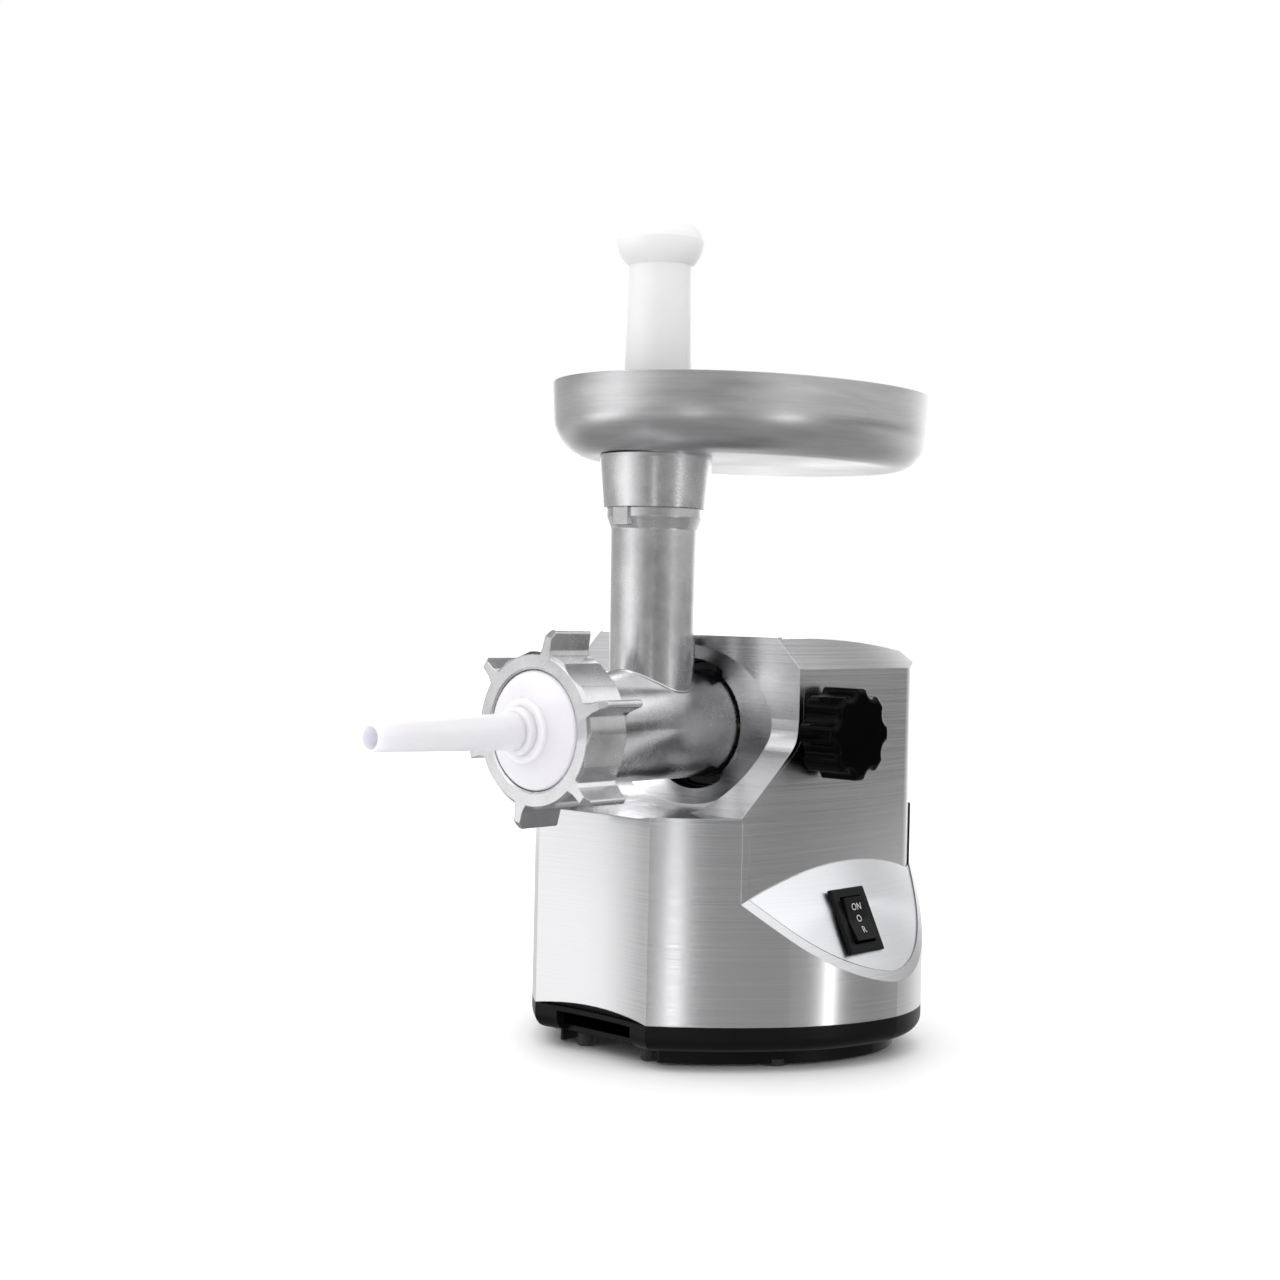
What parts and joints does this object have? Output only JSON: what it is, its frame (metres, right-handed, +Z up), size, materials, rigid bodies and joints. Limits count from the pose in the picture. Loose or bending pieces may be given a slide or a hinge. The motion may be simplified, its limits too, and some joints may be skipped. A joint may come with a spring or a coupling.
{
  "type": "electric meat grinder",
  "caption": "Countertop electric meat grinder: brushed steel body, cast mincing head with oval tray, pusher, sausage nozzle, ring nut, clamp knob and geared motor inside.",
  "frame": {"origin": "centre of the base on the surface it stands on, under the middle of the overall box", "axes": "+Z up, -Y towards the nozzle, +X towards the side with the switch and clamp knob"},
  "size_m": [0.21, 0.366, 0.4141],
  "materials": {
    "brushed_steel": "horizontally brushed stainless steel",
    "label_satin": "light satin plate",
    "black_plastic": "satin black moulded plastic",
    "knob_black": "glossy black phenolic",
    "rubber": "matte black rubber",
    "cast_aluminium": "satin tumbled cast aluminium",
    "tray_aluminium": "satin spun aluminium",
    "tool_steel": "ground steel",
    "white_plastic": "milky white food-grade plastic",
    "nozzle_plastic": "translucent white plastic",
    "gear_plastic": "natural nylon",
    "bronze": "sintered bronze",
    "brass": "machined brass",
    "copper": "enamelled copper wire",
    "lamination": "stacked steel laminations",
    "zinc": "zinc-plated steel",
    "carbon": "pressed carbon",
    "grey_plastic": "grey moulded plastic"
  },
  "bodies": {
    "base_unit": {"body_shell": "brushed_steel", "rear_hood": "brushed_steel", "control_label": "label_satin", "base_tray": "black_plastic", "bottom_plate": "black_plastic", "rubber_feet": "rubber", "vent_grille": "black_plastic", "cable_gland": "black_plastic", "hood_screws": "zinc", "base_screws": "zinc", "switch_body": "black_plastic", "switch_terminals": "brass", "switch_pin": "zinc", "socket_collar": "black_plastic", "gearbox_case": "cast_aluminium", "gearbox_cover": "cast_aluminium", "gearbox_screws": "zinc", "output_bushes": "bronze", "idler_axle": "tool_steel", "stator_core": "lamination", "field_coils": "copper", "front_bracket": "zinc", "rear_spacers": "zinc", "motor_bearings": "bronze", "motor_screws": "zinc", "brush_holders": "brass", "carbon_brushes": "carbon", "brush_springs": "zinc", "terminal_block": "white_plastic", "capacitor": "grey_plastic", "thermal_cutout": "grey_plastic"},
    "rocker": {"switch_rocker": "black_plastic"},
    "clamp": {"clamp_pad": "brass"},
    "knob": {"lock_knob": "knob_black", "clamp_screw": "zinc"},
    "head": {"head_body": "cast_aluminium", "auger_bush": "white_plastic", "mincing_plate": "tool_steel"},
    "worm": {"auger": "cast_aluminium", "auger_tang": "tool_steel", "blade": "tool_steel"},
    "nozzle_tube": {"nozzle": "nozzle_plastic"},
    "ring": {"ring_nut": "cast_aluminium"},
    "tray": {"tray_bowl": "tray_aluminium", "tray_neck": "cast_aluminium"},
    "plunger": {"pusher": "white_plastic"},
    "output_drive": {"output_gear": "gear_plastic", "output_shaft": "tool_steel"},
    "idler": {"idler_gear": "gear_plastic", "idler_pinion": "tool_steel"},
    "rotor": {"motor_pinion": "tool_steel", "rotor_shaft": "tool_steel", "armature_core": "lamination", "armature_windings": "copper", "commutator": "copper", "cooling_fan": "grey_plastic"}
  },
  "joints": [
    {"name": "pusher_lift", "type": "slide", "parent": "head", "child": "plunger", "axis": [0, 0, 1], "range_m": [0, 0.11]},
    {"name": "tray_lift", "type": "slide", "parent": "head", "child": "tray", "axis": [0, 0, 1], "range_m": [0, 0.03]},
    {"name": "head_pull", "type": "slide", "parent": "base_unit", "child": "head", "axis": [0, -1, 0], "range_m": [0, 0.05]},
    {"name": "pad_travel", "type": "slide", "parent": "base_unit", "child": "clamp", "axis": [1, 0, 0], "range_m": [0, 0.004]},
    {"name": "knob_turn", "type": "hinge", "parent": "clamp", "child": "knob", "pos_m": [0.101, 0.03852, 0.162], "axis": [1, 0, 0], "range_deg": [0, 720]},
    {"name": "nozzle_travel", "type": "slide", "parent": "head", "child": "nozzle_tube", "axis": [0, -1, 0], "range_m": [0, 0.012]},
    {"name": "ring_turn", "type": "hinge", "parent": "nozzle_tube", "child": "ring", "pos_m": [0, -0.08513, 0.162], "axis": [0, -1, 0], "range_deg": [0, 1080]},
    {"name": "rocker_tilt", "type": "hinge", "parent": "base_unit", "child": "rocker", "pos_m": [0.08959, 0.05133, 0.06914], "axis": [0, 1, 0], "range_deg": [-11, 11]},
    {"name": "motor_spin", "type": "hinge", "parent": "base_unit", "child": "rotor", "pos_m": [0, -0.00267, 0.087], "axis": [0, -1, 0], "continuous": true},
    {"name": "idler_spin", "type": "hinge", "parent": "base_unit", "child": "idler", "pos_m": [0, 0.08132, 0.123], "axis": [0, -1, 0], "continuous": true},
    {"name": "output_spin", "type": "hinge", "parent": "base_unit", "child": "output_drive", "pos_m": [0, 0.06632, 0.162], "axis": [0, -1, 0], "continuous": true},
    {"name": "auger_spin", "type": "hinge", "parent": "head", "child": "worm", "pos_m": [0, -0.00267, 0.162], "axis": [0, -1, 0], "continuous": true}
  ],
  "couplings": [
    {"joint": "pad_travel", "follows": "knob_turn", "m_per_rad": 0.00031831},
    {"joint": "nozzle_travel", "follows": "ring_turn", "m_per_rad": 0.00063662},
    {"joint": "idler_spin", "follows": "motor_spin", "ratio": -0.125},
    {"joint": "output_spin", "follows": "motor_spin", "ratio": 0.022727},
    {"joint": "auger_spin", "follows": "motor_spin", "ratio": 0.022727}
  ]
}
